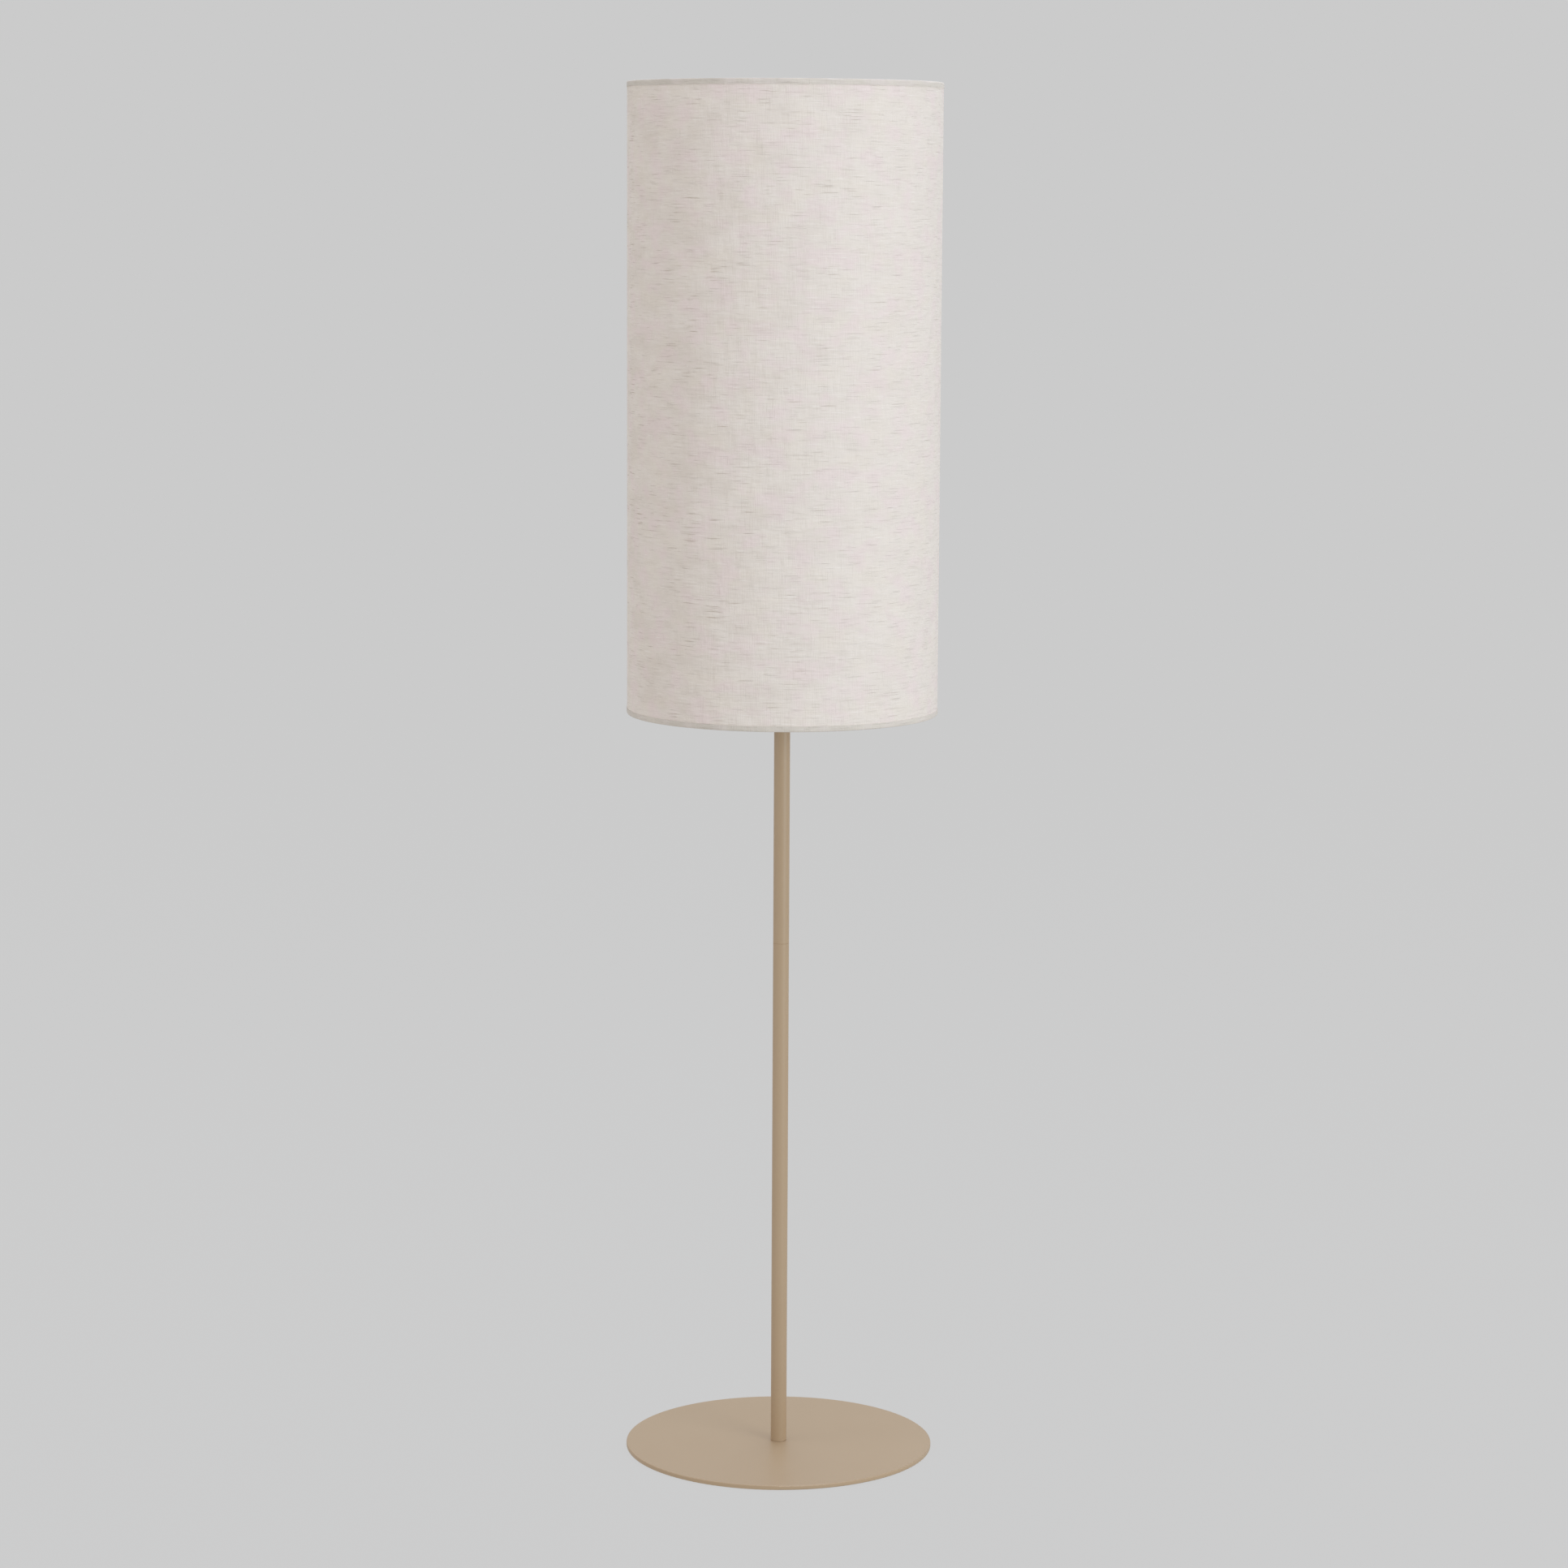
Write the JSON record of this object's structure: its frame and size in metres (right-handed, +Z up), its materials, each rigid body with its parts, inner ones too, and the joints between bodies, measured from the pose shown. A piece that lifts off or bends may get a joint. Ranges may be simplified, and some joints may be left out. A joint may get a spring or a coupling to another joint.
{
  "type": "column floor lamp",
  "caption": "Slim column floor lamp: tall cylindrical linen drum shade on a wire frame, two-part round tube column and a thin round flat base plate.",
  "frame": {"origin": "centre of the underside, on the floor, in the column's axis", "axes": "+Z up along the column, -Y towards the picture's camera, +Y to the back where the cord outlet and the cloth's lap are, +X to the right seen from the front"},
  "size_m": [0.35, 0.35, 1.55],
  "materials": {
    "powder_coat": "fine satin powder coat, sand beige",
    "zinc_steel": "zinc plated steel",
    "brass": "plain stamped brass",
    "holder_plastic": "moulded white thermoplastic",
    "coated_wire": "white epoxy coated wire",
    "ceramic": "unglazed steatite",
    "linen": "slubbed plain weave linen, laminated",
    "hem_linen": "rolled linen edge tape",
    "liner": "translucent matt PVC film",
    "felt": "pressed felt",
    "bush_nylon": "moulded nylon, sand beige",
    "opal_glass": "opal glass",
    "bulb_plastic": "white moulded plastic",
    "cap_aluminium": "rolled aluminium sheet",
    "black_glass": "black cap glass"
  },
  "bodies": {
    "stand": {"base_plate": "powder_coat", "floor_pads": "felt", "base_nipple": "zinc_steel", "base_washer": "zinc_steel", "base_nut": "zinc_steel", "foot_insert": "zinc_steel", "lower_tube": "powder_coat", "cord_bush": "bush_nylon", "lower_joint_insert": "zinc_steel", "joint_nipple": "zinc_steel", "upper_joint_insert": "zinc_steel", "upper_tube": "powder_coat", "head_insert": "zinc_steel", "head_nipple": "zinc_steel", "head_washer": "zinc_steel", "holder_cap": "holder_plastic", "holder_grub_screw": "zinc_steel", "holder_core": "ceramic", "terminal_screws": "brass", "centre_contact": "brass", "side_contact": "brass", "holder_skirt": "holder_plastic", "lower_shade_ring": "holder_plastic", "upper_shade_ring": "holder_plastic"},
    "shade": {"spider_ring": "coated_wire", "spider_arm_a": "coated_wire", "spider_arm_b": "coated_wire", "spider_arm_c": "coated_wire", "frame_strut_a": "coated_wire", "frame_strut_b": "coated_wire", "frame_strut_c": "coated_wire", "frame_top_ring": "coated_wire", "frame_bottom_ring": "coated_wire", "shade_liner": "liner", "shade_cover": "linen", "top_hem": "hem_linen", "bottom_hem": "hem_linen"},
    "bulb": {"bulb_globe": "opal_glass", "bulb_collar": "bulb_plastic", "bulb_cap": "cap_aluminium", "bulb_insulator": "black_glass", "bulb_tip": "zinc_steel"}
  },
  "joints": [
    {"name": "shade_swivel", "type": "hinge", "parent": "stand", "child": "shade", "pos_m": [0, 0, 1.2], "axis": [0, 0, 1], "continuous": true},
    {"name": "bulb_unscrew", "type": "slide", "parent": "stand", "child": "bulb", "axis": [0, 0, 1], "range_m": [0, 0.37]}
  ]
}
